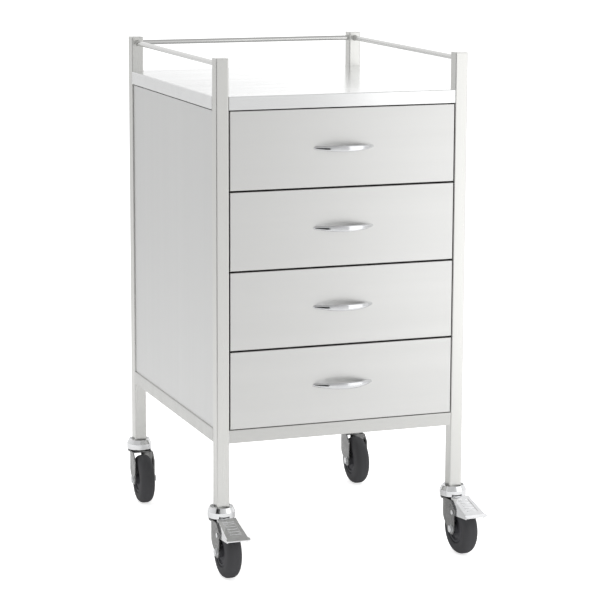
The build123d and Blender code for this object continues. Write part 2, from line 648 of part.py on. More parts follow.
def brake_pedal():
    """Pedal with its cheeks, pivot pins, toe plate and shoe."""
    body = extrude(pedal_plan(0), 2 * PEDAL_TOP) & profile_yz(pedal_side(0), LIP_WIDTH)
    below = profile_yz(pedal_side(PEDAL_SHEET), LIP_WIDTH)
    hollow = extrude(pedal_plan(PEDAL_SHEET), 2 * PEDAL_TOP) & below
    hollow += Pos(0, 0, -PEDAL_CHEEK) * hollow
    body -= hollow
    body -= tread_panel()
    body += pedal_lip()
    body += brake_shoe()
    for side in (-1, 1):
        head = FORK_OUTER + PEDAL_HEAD_CLEARANCE
        pin = (PEDAL_HALF - PEDAL_SHEET, head)
        cap = (head, head + PEDAL_PIN_HEAD_HEIGHT)
        body += along_x(PEDAL_PIN_DIAMETER, side_span(side, *pin), -PEDAL_PIVOT_REACH, PEDAL_PIVOT_HEIGHT)
        body += along_x(PEDAL_PIN_HEAD, side_span(side, *cap), -PEDAL_PIVOT_REACH, PEDAL_PIVOT_HEIGHT)
    return body


# ---------------------------------------------------------------- assembly
def under_post(name):
    """Floor point below a post."""
    side, end, _, _ = CASTORS[name]
    return Pos(side * POST_X, POST_Y[end > 0], 0)


def castor_place(name):
    """Where a castor's own frame stands at rest."""
    return under_post(name) * Rot(0, 0, CASTORS[name][2])


def frame_parts():
    """Pieces that are welded or screwed to the posts."""
    sides = (-1, 1)
    numbers = range(1, DRAWERS + 1)
    corners = {name: (side * POST_X, POST_Y[end > 0]) for name, (side, end, _, _) in CASTORS.items()}
    parts = {f"{name}_post": [post(*place)] for name, place in corners.items()}
    parts["post_caps"] = [post_cap(*place) for place in corners.values()]
    parts["side_rails"] = [side_rail(side) for side in sides]
    parts["back_rail"] = [back_rail()]
    parts["top_shelf"] = [deck(SHELF_HEIGHT)]
    parts["base_pan"] = [deck(BASE_TOP)]
    stiffener_y = (MIDDLE_Y - STIFFENER_SPACING / 2, MIDDLE_Y + STIFFENER_SPACING / 2)
    parts["deck_stiffeners"] = [stiffener(top, y) for top in (SHELF_HEIGHT, BASE_TOP) for y in stiffener_y]
    parts["left_panel"] = [side_panel(-1)]
    parts["right_panel"] = [side_panel(1)]
    parts["back_panel"] = [back_panel()]
    parts["slide_brackets"] = [slide_bracket(side, number) for number in numbers for side in sides]
    parts["slide_outer_members"] = [slide_outer(side, number) for number in numbers for side in sides]
    parts["castor_heads"] = [under_post(name) * castor_head() for name in CASTORS]
    parts["castor_seals"] = [under_post(name) * castor_seal() for name in CASTORS]
    parts["castor_bearings"] = [under_post(name) * castor_bearing() for name in CASTORS]
    return parts


def drawer_parts(number):
    """Pieces of one drawer, and the slide members that move with it."""
    name = f"drawer_{number}"
    screws = (-SCREW_CENTRES / 2, SCREW_CENTRES / 2)
    return {
        f"{name}_front": [drawer_front(number)],
        f"{name}_box": drawer_box(number),
        f"{name}_handle": [drawer_handle(number)],
        f"{name}_handle_screws": [handle_screw(x, number) for x in screws],
        f"{name}_slide_inners": [slide_inner(side, number) for side in (-1, 1)],
        f"{name}_slide_middles": [slide_middle(side, number) for side in (-1, 1)],
    }


def castor_parts(name):
    """Pieces of one castor that swivel or roll."""
    braked = CASTORS[name][3]
    place = castor_place(name)
    parts = {
        f"{name}_fork": [place * castor_fork(braked)],
        f"{name}_axle": [place * castor_axle()],
        f"{name}_hub": [place * wheel_hub()],
        f"{name}_tyre": [place * wheel_tyre()],
    }
    if braked:
        parts[f"{name}_brake_pedal"] = [place * brake_pedal()]
    return parts


def cart_parts():
    """Every node of the cart, by name."""
    parts = frame_parts()
    for number in range(1, DRAWERS + 1):
        parts.update(drawer_parts(number))
    for name in CASTORS:
        parts.update(castor_parts(name))
    return parts


if __name__ == "__main__":
    os.makedirs("parts", exist_ok=True)
    for node, pieces in cart_parts().items():
        solids = [solid for piece in pieces for solid in piece.solids()]
        export_step(Compound(solids), f"parts/{node}.step")
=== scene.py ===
"""Looks of a stainless steel instrument cart: four drawers under a railed shelf, on swivel castors.

Lengths are in metres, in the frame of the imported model: +Z up, drawers open towards -Y.
"""

import json
import logging
import math
from abc import ABC, abstractmethod
from collections.abc import Callable, Sequence
from dataclasses import dataclass
from enum import Enum

import bmesh
import bpy
from mathutils import Matrix, Vector


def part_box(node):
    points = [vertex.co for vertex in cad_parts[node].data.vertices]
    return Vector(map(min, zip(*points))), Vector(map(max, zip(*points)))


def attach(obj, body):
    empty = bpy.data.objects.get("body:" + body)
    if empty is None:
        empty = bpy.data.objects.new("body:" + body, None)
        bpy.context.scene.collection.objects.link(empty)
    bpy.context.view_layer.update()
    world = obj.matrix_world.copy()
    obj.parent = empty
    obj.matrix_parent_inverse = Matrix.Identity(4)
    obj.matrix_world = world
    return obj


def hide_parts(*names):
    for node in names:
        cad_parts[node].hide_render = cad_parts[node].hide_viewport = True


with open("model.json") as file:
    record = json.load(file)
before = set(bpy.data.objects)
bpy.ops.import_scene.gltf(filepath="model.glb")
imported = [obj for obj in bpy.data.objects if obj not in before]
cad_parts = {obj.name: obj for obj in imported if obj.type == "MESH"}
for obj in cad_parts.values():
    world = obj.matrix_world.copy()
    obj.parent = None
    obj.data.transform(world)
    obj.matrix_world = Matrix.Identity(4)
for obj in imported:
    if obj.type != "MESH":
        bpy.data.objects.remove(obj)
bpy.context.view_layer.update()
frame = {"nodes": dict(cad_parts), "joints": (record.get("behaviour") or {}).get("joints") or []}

Colour = tuple[float, float, float]
Point = tuple[float, float, float]
Profile = Sequence[tuple[float, float]]
LOG = logging.getLogger("instrument_cart")
MM = 0.001
SHARP_ANGLE = math.radians(34)


# ---------------------------------------------------------------- node trees
class Wiring:
    """Adds nodes to one node tree and links them."""

    def __init__(self, tree: bpy.types.NodeTree) -> None:
        """Keeps the tree.

        Args:
            tree: Node tree of a material, a world or a group.
        """
        self.tree = tree

    def add(self, kind: str, inputs: dict | None = None, **settings: object) -> bpy.types.Node:
        """Makes a node.

        Args:
            kind: Type name of the node.
            inputs: Value or output socket for each input, by name or number.
            settings: The node's own settings.

        Returns:
            The new node.
        """
        node = self.tree.nodes.new(kind)
        for name, value in settings.items():
            setattr(node, name, value)
        for name, value in (inputs or {}).items():
            if isinstance(value, bpy.types.NodeSocket):
                self.tree.links.new(value, node.inputs[name])
            else:
                node.inputs[name].default_value = value
        return node

    def math(self, operation: str, *values: object, clamp: bool = False) -> bpy.types.NodeSocket:
        """Adds a Math node.

        Args:
            operation: What it works out.
            values: Numbers or output sockets.
            clamp: Whether the result stays from 0 to 1.

        Returns:
            The node's output.
        """
        inputs = dict(enumerate(values))
        return self.add("ShaderNodeMath", inputs, operation=operation, use_clamp=clamp).outputs[0]

    def spread(
        self, value: object, source: tuple[float, float], low: object, high: object
    ) -> bpy.types.NodeSocket:
        """Maps a range of values to another.

        Args:
            value: Output socket to map.
            source: Values that become low and high.
            low: Number or output socket.
            high: Number or output socket.

        Returns:
            The mapped value, clamped to the new range.
        """
        inputs = {"Value": value, "From Min": source[0], "From Max": source[1], "To Min": low, "To Max": high}
        return self.add("ShaderNodeMapRange", inputs, interpolation_type="SMOOTHSTEP").outputs["Result"]

    def blend(self, factor: object, first: object, second: object) -> bpy.types.NodeSocket:
        """Mixes two colours.

        Args:
            factor: Share of the second colour.
            first: Colour or output socket.
            second: Colour or output socket.

        Returns:
            The mixed colour.
        """
        node = self.add("ShaderNodeMix", data_type="RGBA")
        sockets = {"Factor_Float": factor, "A_Color": first, "B_Color": second}
        for socket in node.inputs:
            value = sockets.get(socket.identifier)
            if value is None:
                continue
            if isinstance(value, bpy.types.NodeSocket):
                self.tree.links.new(value, socket)
            else:
                socket.default_value = (*value, 1.0) if isinstance(value, tuple) else value
        return next(socket for socket in node.outputs if socket.identifier == "Result_Color")


@dataclass(frozen=True)
class Port:
    """A named input or output of a shader node group."""

    name: str
    kind: str = "NodeSocketFloat"


class Effect(ABC):
    """A shader node group that several finishes share."""

    title: str
    takes: tuple[Port, ...]
    gives: tuple[Port, ...]

    @classmethod
    @abstractmethod
    def draw(cls, wiring: Wiring, given: bpy.types.NodeOutputs) -> dict[str, bpy.types.NodeSocket]:
        """Adds the group's nodes.

        Args:
            wiring: The group's tree.
            given: The group's inputs.

        Returns:
            Output socket for each of the group's outputs, by name.
        """

    @classmethod
    def group(cls) -> bpy.types.NodeTree:
        """Finds the group, or builds it the first time.

        Returns:
            The group's tree.
        """
        found = bpy.data.node_groups.get(cls.title)
        if found:
            return found
        tree = bpy.data.node_groups.new(cls.title, "ShaderNodeTree")
        for ports, way in ((cls.takes, "INPUT"), (cls.gives, "OUTPUT")):
            for port in ports:
                tree.interface.new_socket(port.name, in_out=way, socket_type=port.kind)
        wiring = Wiring(tree)
        given = wiring.add("NodeGroupInput").outputs
        wiring.add("NodeGroupOutput", cls.draw(wiring, given))
        return tree

    @classmethod
    def place(cls, wiring: Wiring, **values: object) -> bpy.types.NodeOutputs:
        """Puts the group into a material.

        Args:
            wiring: The material's tree.
            values: Value of each input, by name.

        Returns:
            The outputs of the placed group.
        """
        node = wiring.add("ShaderNodeGroup", node_tree=cls.group())
        for name, value in values.items():
            node.inputs[name].default_value = value
        return node.outputs


class BrushedGrain(Effect):
    """Fine scratches in one direction, with broad faint streaks over them."""

    title = "Brushed grain"
    takes = (
        Port("Fine", "NodeSocketVector"),
        Port("Broad", "NodeSocketVector"),
        Port("Smooth"),
        Port("Rough"),
    )
    gives = (Port("Roughness"), Port("Height"), Port("Streak"))
    details = (("Fine", 3.0), ("Broad", 4.0))
    noise_roughness = 0.6
    fine_share = 0.6
    broad_share = 0.4
    scratch_range = (0.36, 0.64)
    streak_range = (0.32, 0.68)

    @classmethod
    def draw(cls, wiring: Wiring, given: bpy.types.NodeOutputs) -> dict[str, bpy.types.NodeSocket]:
        """Adds two stretched noises, a fine and a broad one.

        Args:
            wiring: The group's tree.
            given: The group's inputs.

        Returns:
            Output socket for each of the group's outputs, by name.
        """
        place = wiring.add("ShaderNodeTexCoord").outputs["Object"]
        noises = {}
        for name, detail in cls.details:
            stretched = wiring.add("ShaderNodeVectorMath", {0: place, 1: given[name]}, operation="MULTIPLY")
            inputs = {"Vector": stretched.outputs[0], "Scale": 1.0, "Detail": detail}
            inputs["Roughness"] = cls.noise_roughness
            noises[name] = wiring.add("ShaderNodeTexNoise", inputs).outputs["Fac"]
        broad = wiring.math("MULTIPLY", noises["Broad"], cls.broad_share)
        both = wiring.math("MULTIPLY_ADD", noises["Fine"], cls.fine_share, broad)
        return {
            "Roughness": wiring.spread(both, cls.scratch_range, given["Smooth"], given["Rough"]),
            "Height": noises["Fine"],
            "Streak": wiring.spread(noises["Broad"], cls.streak_range, 0.0, 1.0),
        }


class EdgeRubAndHighlight(Effect):
    """Mask that is 1 along sharp edges, where metal is polished by use; the finishes lighten their colour
    there, partly as painted highlight.
    """

    title = "Rubbed edges and painted highlight"
    takes = (Port("Width"),)
    gives = (Port("Mask"), Port("Normal", "NodeSocketVector"))
    bend_range = (0.004, 0.12)
    patch_scale = 90.0
    patch_range = (0.35, 0.6)
    patch_low = 0.45

    @classmethod
    def draw(cls, wiring: Wiring, given: bpy.types.NodeOutputs) -> dict[str, bpy.types.NodeSocket]:
        """Compares the rounded normal with the plain one, and breaks the mask up with noise.

        Args:
            wiring: The group's tree.
            given: The group's inputs.

        Returns:
            Output socket for each of the group's outputs, by name.
        """
        rounded = wiring.add("ShaderNodeBevel", {"Radius": given["Width"]}, samples=6).outputs[0]
        plain = wiring.add("ShaderNodeNewGeometry").outputs["Normal"]
        product = wiring.add("ShaderNodeVectorMath", {0: rounded, 1: plain}, operation="DOT_PRODUCT")
        bend = wiring.math("SUBTRACT", 1.0, product.outputs["Value"])
        bent = wiring.spread(bend, cls.bend_range, 0.0, 1.0)
        place = wiring.add("ShaderNodeTexCoord").outputs["Object"]
        patches = wiring.add("ShaderNodeTexNoise", {"Vector": place, "Scale": cls.patch_scale, "Detail": 3.0})
        broken = wiring.spread(patches.outputs["Fac"], cls.patch_range, cls.patch_low, 1.0)
        return {"Mask": wiring.math("MULTIPLY", bent, broken, clamp=True), "Normal": rounded}


class Smudges(Effect):
    """Soft marks that hands and wiping leave on a smooth surface."""

    title = "Smudges"
    takes = (Port("Scale"),)
    gives = (Port("Mask"),)
    wipe_fineness = 9.0
    cloud_range = (0.45, 0.68)
    wipe_range = (0.3, 0.7)

    @classmethod
    def draw(cls, wiring: Wiring, given: bpy.types.NodeOutputs) -> dict[str, bpy.types.NodeSocket]:
        """Multiplies a cloudy noise by a finer one.

        Args:
            wiring: The group's tree.
            given: The group's inputs.

        Returns:
            Output socket for each of the group's outputs, by name.
        """
        place = wiring.add("ShaderNodeTexCoord").outputs["Object"]
        inputs = {"Vector": place, "Scale": given["Scale"], "Detail": 4.0, "Distortion": 0.8}
        clouds = wiring.add("ShaderNodeTexNoise", inputs).outputs["Fac"]
        finer = wiring.math("MULTIPLY", given["Scale"], cls.wipe_fineness)
        wipes = wiring.add("ShaderNodeTexNoise", {"Vector": place, "Scale": finer, "Detail": 2.0})
        soft = wiring.spread(clouds, cls.cloud_range, 0.0, 1.0)
        uneven = wiring.spread(wipes.outputs["Fac"], cls.wipe_range, 0.5, 1.0)
        return {"Mask": wiring.math("MULTIPLY", soft, uneven)}


class Stipple(Effect):
    """Fine pits and flecks of moulded, plated or pressed surfaces."""

    title = "Stipple"
    takes = (Port("Scale"),)
    gives = (Port("Height"), Port("Fleck"))
    fleck_scale_share = 0.1
    fleck_range = (0.38, 0.62)

    @classmethod
    def draw(cls, wiring: Wiring, given: bpy.types.NodeOutputs) -> dict[str, bpy.types.NodeSocket]:
        """Adds rounded cells for the pits and a noise ten times as broad for the flecks.

        Args:
            wiring: The group's tree.
            given: The group's inputs.

        Returns:
            Output socket for each of the group's outputs, by name.
        """
        place = wiring.add("ShaderNodeTexCoord").outputs["Object"]
        inputs = {"Vector": place, "Scale": given["Scale"]}
        cells = wiring.add("ShaderNodeTexVoronoi", inputs, feature="SMOOTH_F1")
        broad = wiring.math("MULTIPLY", given["Scale"], cls.fleck_scale_share)
        inputs = {"Vector": place, "Scale": broad, "Detail": 5.0, "Roughness": 0.65}
        flecks = wiring.add("ShaderNodeTexNoise", inputs).outputs["Fac"]
        fleck = wiring.spread(flecks, cls.fleck_range, 0.0, 1.0)
        return {"Height": cells.outputs["Distance"], "Fleck": fleck}


# ---------------------------------------------------------------- finishes
class Grain(Enum):
    """Direction in which a sheet or tube was brushed, as its share of the scratches' density on each axis."""

    ALONG_X = (0.012, 1.0, 1.0)
    ALONG_Y = (1.0, 0.012, 1.0)
    ALONG_Z = (1.0, 1.0, 0.012)

    def times(self, density: float) -> Point:
        """Gives the noise scale on each axis for a density of scratches per metre."""
        return tuple(share * density for share in self.value)


@dataclass(frozen=True)
class Finish(ABC):
    """A surface finish that becomes one material."""

    name: str

    @abstractmethod
    def paint(self, wiring: Wiring, shader: bpy.types.Node) -> None:
        """Sets the shader's sockets and adds what drives them.

        Args:
            wiring: The material's tree.
            shader: Its Principled BSDF node.
        """

    def material(self) -> bpy.types.Material:
        """Finds the material, or builds it the first time.

        Returns:
            The material.
        """
        found = bpy.data.materials.get(self.name)
        if found:
            return found
        made = bpy.data.materials.new(self.name)
        made.use_nodes = True
        made.node_tree.nodes.clear()
        wiring = Wiring(made.node_tree)
        shader = wiring.add("ShaderNodeBsdfPrincipled")
        wiring.add("ShaderNodeOutputMaterial", {"Surface": shader.outputs["BSDF"]})
        self.paint(wiring, shader)
        return made


@dataclass(frozen=True)
class BrushedSteel(Finish):
    """Stainless sheet or tube with a brushed grain."""

    colour: Colour
    shade: Colour
    grain: Grain
    smooth: float
    rough: float
    density: float = 1100.0
    streak_share: float = 0.03
    relief: float = 0.10
    relief_depth: float = 0.2 * MM
    # strength and colour of the lightening along edges: partly rubbed metal, partly painted highlight
    edge_rub_and_highlight: float = 0.6
    edge_width: float = 0.0009
    rubbed_and_highlight_colour: Colour = (0.93, 0.93, 0.92)

    def paint(self, wiring: Wiring, shader: bpy.types.Node) -> None:
        """Drives colour, roughness and bump from the grain, and lightens rubbed edges, partly as painted
        highlight.

        Args:
            wiring: The material's tree.
            shader: Its Principled BSDF node.
        """
        broad = self.grain.times(self.density * self.streak_share)
        grain = BrushedGrain.place(
            wiring, Fine=self.grain.times(self.density), Broad=broad, Smooth=self.smooth, Rough=self.rough
        )
        edge = EdgeRubAndHighlight.place(wiring, Width=self.edge_width)
        tone = wiring.blend(grain["Streak"], self.colour, self.shade)
        # lightens the colour along edges: partly rubbed metal, partly painted highlight
        rubbed_and_highlit = wiring.math("MULTIPLY", edge["Mask"], self.edge_rub_and_highlight)
        wiring.tree.links.new(wiring.blend(rubbed_and_highlit, tone, self.rubbed_and_highlight_colour), shader.inputs["Base Color"])
        wiring.tree.links.new(grain["Roughness"], shader.inputs["Roughness"])
        inputs = {"Height": grain["Height"], "Normal": edge["Normal"]}
        inputs |= {"Strength": self.relief, "Distance": self.relief_depth}
        wiring.tree.links.new(wiring.add("ShaderNodeBump", inputs).outputs[0], shader.inputs["Normal"])
        shader.inputs["Metallic"].default_value = 1.0


@dataclass(frozen=True)
class Plated(Finish):
    """Chrome or zinc plate with smudges and a slight unevenness below it."""

    colour: Colour
    shade: Colour
    smooth: float
    rough: float
    stipple: float = 700.0
    smudges: float = 35.0
    fleck_share: float = 0.5
    relief: float = 0.05
    relief_depth: float = 0.2 * MM
    # strength and colour of the lightening along edges: partly rubbed plate, partly painted highlight
    edge_rub_and_highlight: float = 0.7
    edge_width: float = 0.0005
    rubbed_and_highlight_colour: Colour = (0.95, 0.95, 0.95)

    def paint(self, wiring: Wiring, shader: bpy.types.Node) -> None:
        """Drives colour and roughness from flecks and smudges, and bump from the stipple, and lightens rubbed
        edges, partly as painted highlight.

        Args:
            wiring: The material's tree.
            shader: Its Principled BSDF node.
        """
        stipple = Stipple.place(wiring, Scale=self.stipple)
        smudge = Smudges.place(wiring, Scale=self.smudges)
        edge = EdgeRubAndHighlight.place(wiring, Width=self.edge_width)
        tone = wiring.blend(stipple["Fleck"], self.colour, self.shade)
        # lightens the colour along edges: partly rubbed plate, partly painted highlight
        rubbed_and_highlit = wiring.math("MULTIPLY", edge["Mask"], self.edge_rub_and_highlight)
        wiring.tree.links.new(wiring.blend(rubbed_and_highlit, tone, self.rubbed_and_highlight_colour), shader.inputs["Base Color"])
        flecks = wiring.math("MULTIPLY", stipple["Fleck"], self.fleck_share)
        marks = wiring.math("MAXIMUM", smudge["Mask"], flecks)
        roughness = wiring.spread(marks, (0.0, 1.0), self.smooth, self.rough)
        wiring.tree.links.new(roughness, shader.inputs["Roughness"])
        inputs = {"Height": stipple["Height"], "Normal": edge["Normal"]}
        inputs |= {"Strength": self.relief, "Distance": self.relief_depth}
        wiring.tree.links.new(wiring.add("ShaderNodeBump", inputs).outputs[0], shader.inputs["Normal"])
        shader.inputs["Metallic"].default_value = 1.0


@dataclass(frozen=True)
class Moulded(Finish):
    """Rubber or plastic with a moulded texture and a little dust."""

    colour: Colour
    dust: Colour
    smooth: float
    rough: float
    dust_share: float
    stipple: float = 1600.0
    smudges: float = 55.0
    relief: float = 0.35
    relief_depth: float = 0.3 * MM
    gloss: float = 0.4

    def paint(self, wiring: Wiring, shader: bpy.types.Node) -> None:
        """Drives colour from dust, roughness from flecks and bump from the stipple.

        Args:
            wiring: The material's tree.
            shader: Its Principled BSDF node.
        """
        stipple = Stipple.place(wiring, Scale=self.stipple)
        smudge = Smudges.place(wiring, Scale=self.smudges)
        marks = wiring.math("MAXIMUM", smudge["Mask"], stipple["Fleck"])
        dusty = wiring.math("MULTIPLY", marks, self.dust_share)
        wiring.tree.links.new(wiring.blend(dusty, self.colour, self.dust), shader.inputs["Base Color"])
        roughness = wiring.spread(stipple["Fleck"], (0.0, 1.0), self.smooth, self.rough)
        wiring.tree.links.new(roughness, shader.inputs["Roughness"])
        inputs = {"Height": stipple["Height"], "Strength": self.relief, "Distance": self.relief_depth}
        wiring.tree.links.new(wiring.add("ShaderNodeBump", inputs).outputs[0], shader.inputs["Normal"])
        shader.inputs["Specular IOR Level"].default_value = self.gloss


POST_STEEL = BrushedSteel(
    "post_steel", (0.70, 0.70, 0.68), (0.68, 0.68, 0.66), Grain.ALONG_Z, smooth=0.27, rough=0.34
)
RAIL_X_STEEL = BrushedSteel(
    "rail_steel_x", (0.74, 0.74, 0.73), (0.70, 0.70, 0.69), Grain.ALONG_X, smooth=0.08, rough=0.15
)
RAIL_Y_STEEL = BrushedSteel(
    "rail_steel_y", (0.74, 0.74, 0.73), (0.70, 0.70, 0.69), Grain.ALONG_Y, smooth=0.08, rough=0.15
)
SHELF_STEEL = BrushedSteel(
    "shelf_steel", (0.84, 0.845, 0.845), (0.81, 0.815, 0.815), Grain.ALONG_X, smooth=0.16, rough=0.23
)
BASE_STEEL = BrushedSteel(
    "base_steel", (0.60, 0.60, 0.585), (0.58, 0.58, 0.565), Grain.ALONG_X, smooth=0.27, rough=0.35
)
SIDE_STEEL = BrushedSteel(
    "side_panel_steel", (0.69, 0.693, 0.688), (0.68, 0.683, 0.678), Grain.ALONG_Z, smooth=0.38, rough=0.41
)
BACK_STEEL = BrushedSteel(
    "back_panel_steel", (0.69, 0.693, 0.688), (0.68, 0.683, 0.678), Grain.ALONG_Z, smooth=0.38, rough=0.41
)
FRONT_STEEL = BrushedSteel(
    "drawer_front_steel", (0.66, 0.66, 0.65), (0.65, 0.65, 0.64), Grain.ALONG_X, smooth=0.33, rough=0.37
)
BOX_STEEL = BrushedSteel(
    "drawer_box_steel", (0.66, 0.665, 0.655), (0.63, 0.635, 0.625), Grain.ALONG_Y, smooth=0.32, rough=0.44
)
HANDLE_CHROME = Plated(
    "handle_satin_chrome", (0.72, 0.725, 0.735), (0.68, 0.685, 0.70), smooth=0.12, rough=0.22
)
BRIGHT_CHROME = Plated(
    "bright_chrome", (0.84, 0.845, 0.855), (0.80, 0.805, 0.815), smooth=0.04, rough=0.10
)
FORK_PLATE = Plated(
    "fork_plate", (0.26, 0.26, 0.258), (0.23, 0.23, 0.228), smooth=0.26, rough=0.40,
    stipple=900.0, relief=0.16,
)
BRIGHT_ZINC = Plated(
    "bright_zinc", (0.74, 0.75, 0.76), (0.66, 0.67, 0.68), smooth=0.14, rough=0.30
)
SLIDE_ZINC = Plated(
    "slide_zinc", (0.60, 0.625, 0.65), (0.52, 0.545, 0.58), smooth=0.22, rough=0.40, stipple=500.0
)
TYRE_RUBBER = Moulded(
    "tyre_rubber", (0.029, 0.029, 0.030), (0.054, 0.053, 0.052), smooth=0.50, rough=0.70, dust_share=0.45
)
HUB_PLASTIC = Moulded(
    "hub_plastic", (0.026, 0.027, 0.028), (0.05, 0.05, 0.05), smooth=0.40, rough=0.58,
    dust_share=0.35, stipple=1100.0,
)
SEAL_RUBBER = Moulded(
    "seal_rubber", (0.010, 0.010, 0.011), (0.03, 0.03, 0.03), smooth=0.45, rough=0.65, dust_share=0.25
)
FLAG_CLOTH = Moulded(
    "flag_cloth", (0.012, 0.012, 0.012), (0.02, 0.02, 0.02), smooth=0.85, rough=0.95, dust_share=0.2
)


# ---------------------------------------------------------------- meshes
def piece(name: str, mesh: bmesh.types.BMesh, finish: Finish, body: str) -> bpy.types.Object:
    """Turns a finished bmesh into a piece that rides on a body.

    Args:
        name: Name of the piece.
        mesh: Its mesh, in the row frame. It is freed.
        finish: What it is made of.
        body: CAD body that it moves with.

    Returns:
        The new object.
    """
    bmesh.ops.recalc_face_normals(mesh, faces=mesh.faces)
    for face in mesh.faces:
        face.smooth = True
    data = bpy.data.meshes.new(name)
    mesh.to_mesh(data)
    mesh.free()
    data.materials.append(finish.material())
    data.set_sharp_from_angle(angle=SHARP_ANGLE)
    made = bpy.data.objects.new(name, data)
    bpy.context.scene.collection.objects.link(made)
    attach(made, body)
    LOG.info("built %s on %s, %d faces", name, body, len(data.polygons))
    return made


def lathe(
    mesh: bmesh.types.BMesh,
    profile: Profile,
    place: Matrix,
    steps: int = 48,
    radius: Callable[[float, int, float], tuple[float, float]] | None = None,
) -> None:
    """Adds a closed solid of revolution about the local Z axis.

    Args:
        mesh: Mesh that it is added to.
        profile: (radius, height) points of one side. Points on the axis have radius 0.
        place: Local frame in the row frame.
        steps: Number of segments round the axis.
        radius: Optional rule that turns an angle, the point's number and its radius into a new
            (radius, height shift).
    """
    rings = []
    for number, (size, height) in enumerate(profile):
        if size == 0:
            rings.append([mesh.verts.new(place @ Vector((0, 0, height)))])
            continue
        ring = []
        for step in range(steps):
            angle = math.tau * step / steps
            r, lift = radius(angle, number, size) if radius else (size, 0.0)
            corner = Vector((r * math.cos(angle), r * math.sin(angle), height + lift))
            ring.append(mesh.verts.new(place @ corner))
        rings.append(ring)
    closed = profile[0][0] > 0
    pairs = list(zip(rings, rings[1:] + rings[:1])) if closed else list(zip(rings, rings[1:]))
    for low, high in pairs:
        for step in range(steps):
            after = (step + 1) % steps
            corners = [low[step % len(low)], low[after % len(low)]]
            corners += [high[after % len(high)], high[step % len(high)]]
            mesh.faces.new(list(dict.fromkeys(corners)))


def rounded_bar(mesh: bmesh.types.BMesh, size: Vector, place: Matrix, edge: float) -> None:
    """Adds a bar with bevelled edges, centred on the local origin.

    Args:
        mesh: Mesh that it is added to.
        size: Its extent on each local axis.
        place: Local frame in the row frame.
        edge: Radius of its edges.
    """
    made = bmesh.ops.create_cube(mesh, size=1.0)["verts"]
    bmesh.ops.scale(mesh, vec=size, verts=made)
    edges = {link for vert in made for link in vert.link_edges}
    result = bmesh.ops.bevel(mesh, geom=list(edges), offset=edge, segments=3, profile=0.5, affect="EDGES")
    bar = list({vert for face in result["faces"] for vert in face.verts})
    bmesh.ops.transform(mesh, matrix=place, verts=bar)


def along(direction: Vector, origin: Vector) -> Matrix:
    """Frame whose local Z axis points in a direction.

    Args:
        direction: Direction in the row frame.
        origin: Where the frame stands.

    Returns:
        The frame.
    """
    return Matrix.Translation(origin) @ direction.to_track_quat("Z", "Y").to_matrix().to_4x4()


def dress(finish: Finish, *names: str) -> None:
    """Gives CAD nodes a finish.

    Args:
        finish: What they are made of.
        names: Names of the nodes.
    """
    for name in names:
        node = frame["nodes"][name]
        if not node.material_slots:
            node.data.materials.append(None)
        for slot in node.material_slots:
            slot.material = finish.material()
        LOG.info("dressed %s in %s", name, finish.name)


# ---------------------------------------------------------------- sub-assemblies
class SubAssembly(ABC):
    """A group of CAD nodes and the detail that Blender adds to them."""

    @abstractmethod
    def build(self) -> None:
        """Builds the added pieces."""

    @abstractmethod
    def dress(self) -> None:
        """Gives each CAD node its finish."""


@dataclass
class Cabinet(SubAssembly):
    """Posts, rails, decks and panels."""

    corners: tuple[str, ...] = ("left_front", "right_front", "left_rear", "right_rear")
    rod_radius: float = 5.0 * MM
    bead_reach: float = 1.1 * MM
    bead_width: float = 1.0 * MM
    bead_swell: float = 0.12 * MM
    bead_ripples: int = 16
    bead_root: float = 0.4 * MM
    bead_steps: int = 64

    def rail_ends(self) -> list[tuple[Vector, Vector]]:
        """Where the rails meet the posts.

        Returns:
            (point on the rail's axis at the post's face, direction away from the post) for each end.
        """
        height = sum(corner.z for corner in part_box("back_rail")) / 2
        ends = []
        for side in ("left", "right"):
            front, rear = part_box(f"{side}_front_post"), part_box(f"{side}_rear_post")
            x = (front[0].x + front[1].x) / 2
            ends.append((Vector((x, front[1].y, height)), Vector((0, 1, 0))))
            ends.append((Vector((x, rear[0].y, height)), Vector((0, -1, 0))))
            inner = rear[1].x if side == "left" else rear[0].x
            y = (rear[0].y + rear[1].y) / 2
            ends.append((Vector((inner, y, height)), Vector((1 if side == "left" else -1, 0, 0))))
        return ends

    def build(self) -> None:
        """Adds a weld bead round each end of the rails."""
        rod, reach, width = self.rod_radius, self.bead_reach, self.bead_width
        inside = rod - self.bead_root
        profile = [(inside, reach), (rod, reach), (rod + 0.12 * width, 0.55 * reach)]
        profile += [(rod + 0.40 * width, 0.22 * reach), (rod + width, 0.0), (inside, 0.0)]

        def ripple(angle: float, number: int, size: float) -> tuple[float, float]:
            """Swells the outer points into the beads of a weld."""
            swell = 0.5 + 0.5 * math.sin(self.bead_ripples * angle)
            return (size + self.bead_swell * swell if number in (2, 3) else size), 0.0

        mesh = bmesh.new()
        for point, direction in self.rail_ends():
            lathe(mesh, profile, along(direction, point), steps=self.bead_steps, radius=ripple)
        piece("rail_welds", mesh, POST_STEEL, "frame")

    def dress(self) -> None:
        """Gives each sheet and tube the steel and grain that it has."""
        dress(POST_STEEL, *[f"{corner}_post" for corner in self.corners], "post_caps")
        dress(RAIL_Y_STEEL, "side_rails")
        dress(RAIL_X_STEEL, "back_rail")
        dress(SHELF_STEEL, "top_shelf")
        dress(BASE_STEEL, "base_pan", "deck_stiffeners")
        dress(SIDE_STEEL, "left_panel", "right_panel")
        dress(BACK_STEEL, "back_panel")
        dress(SLIDE_ZINC, "slide_brackets", "slide_outer_members")


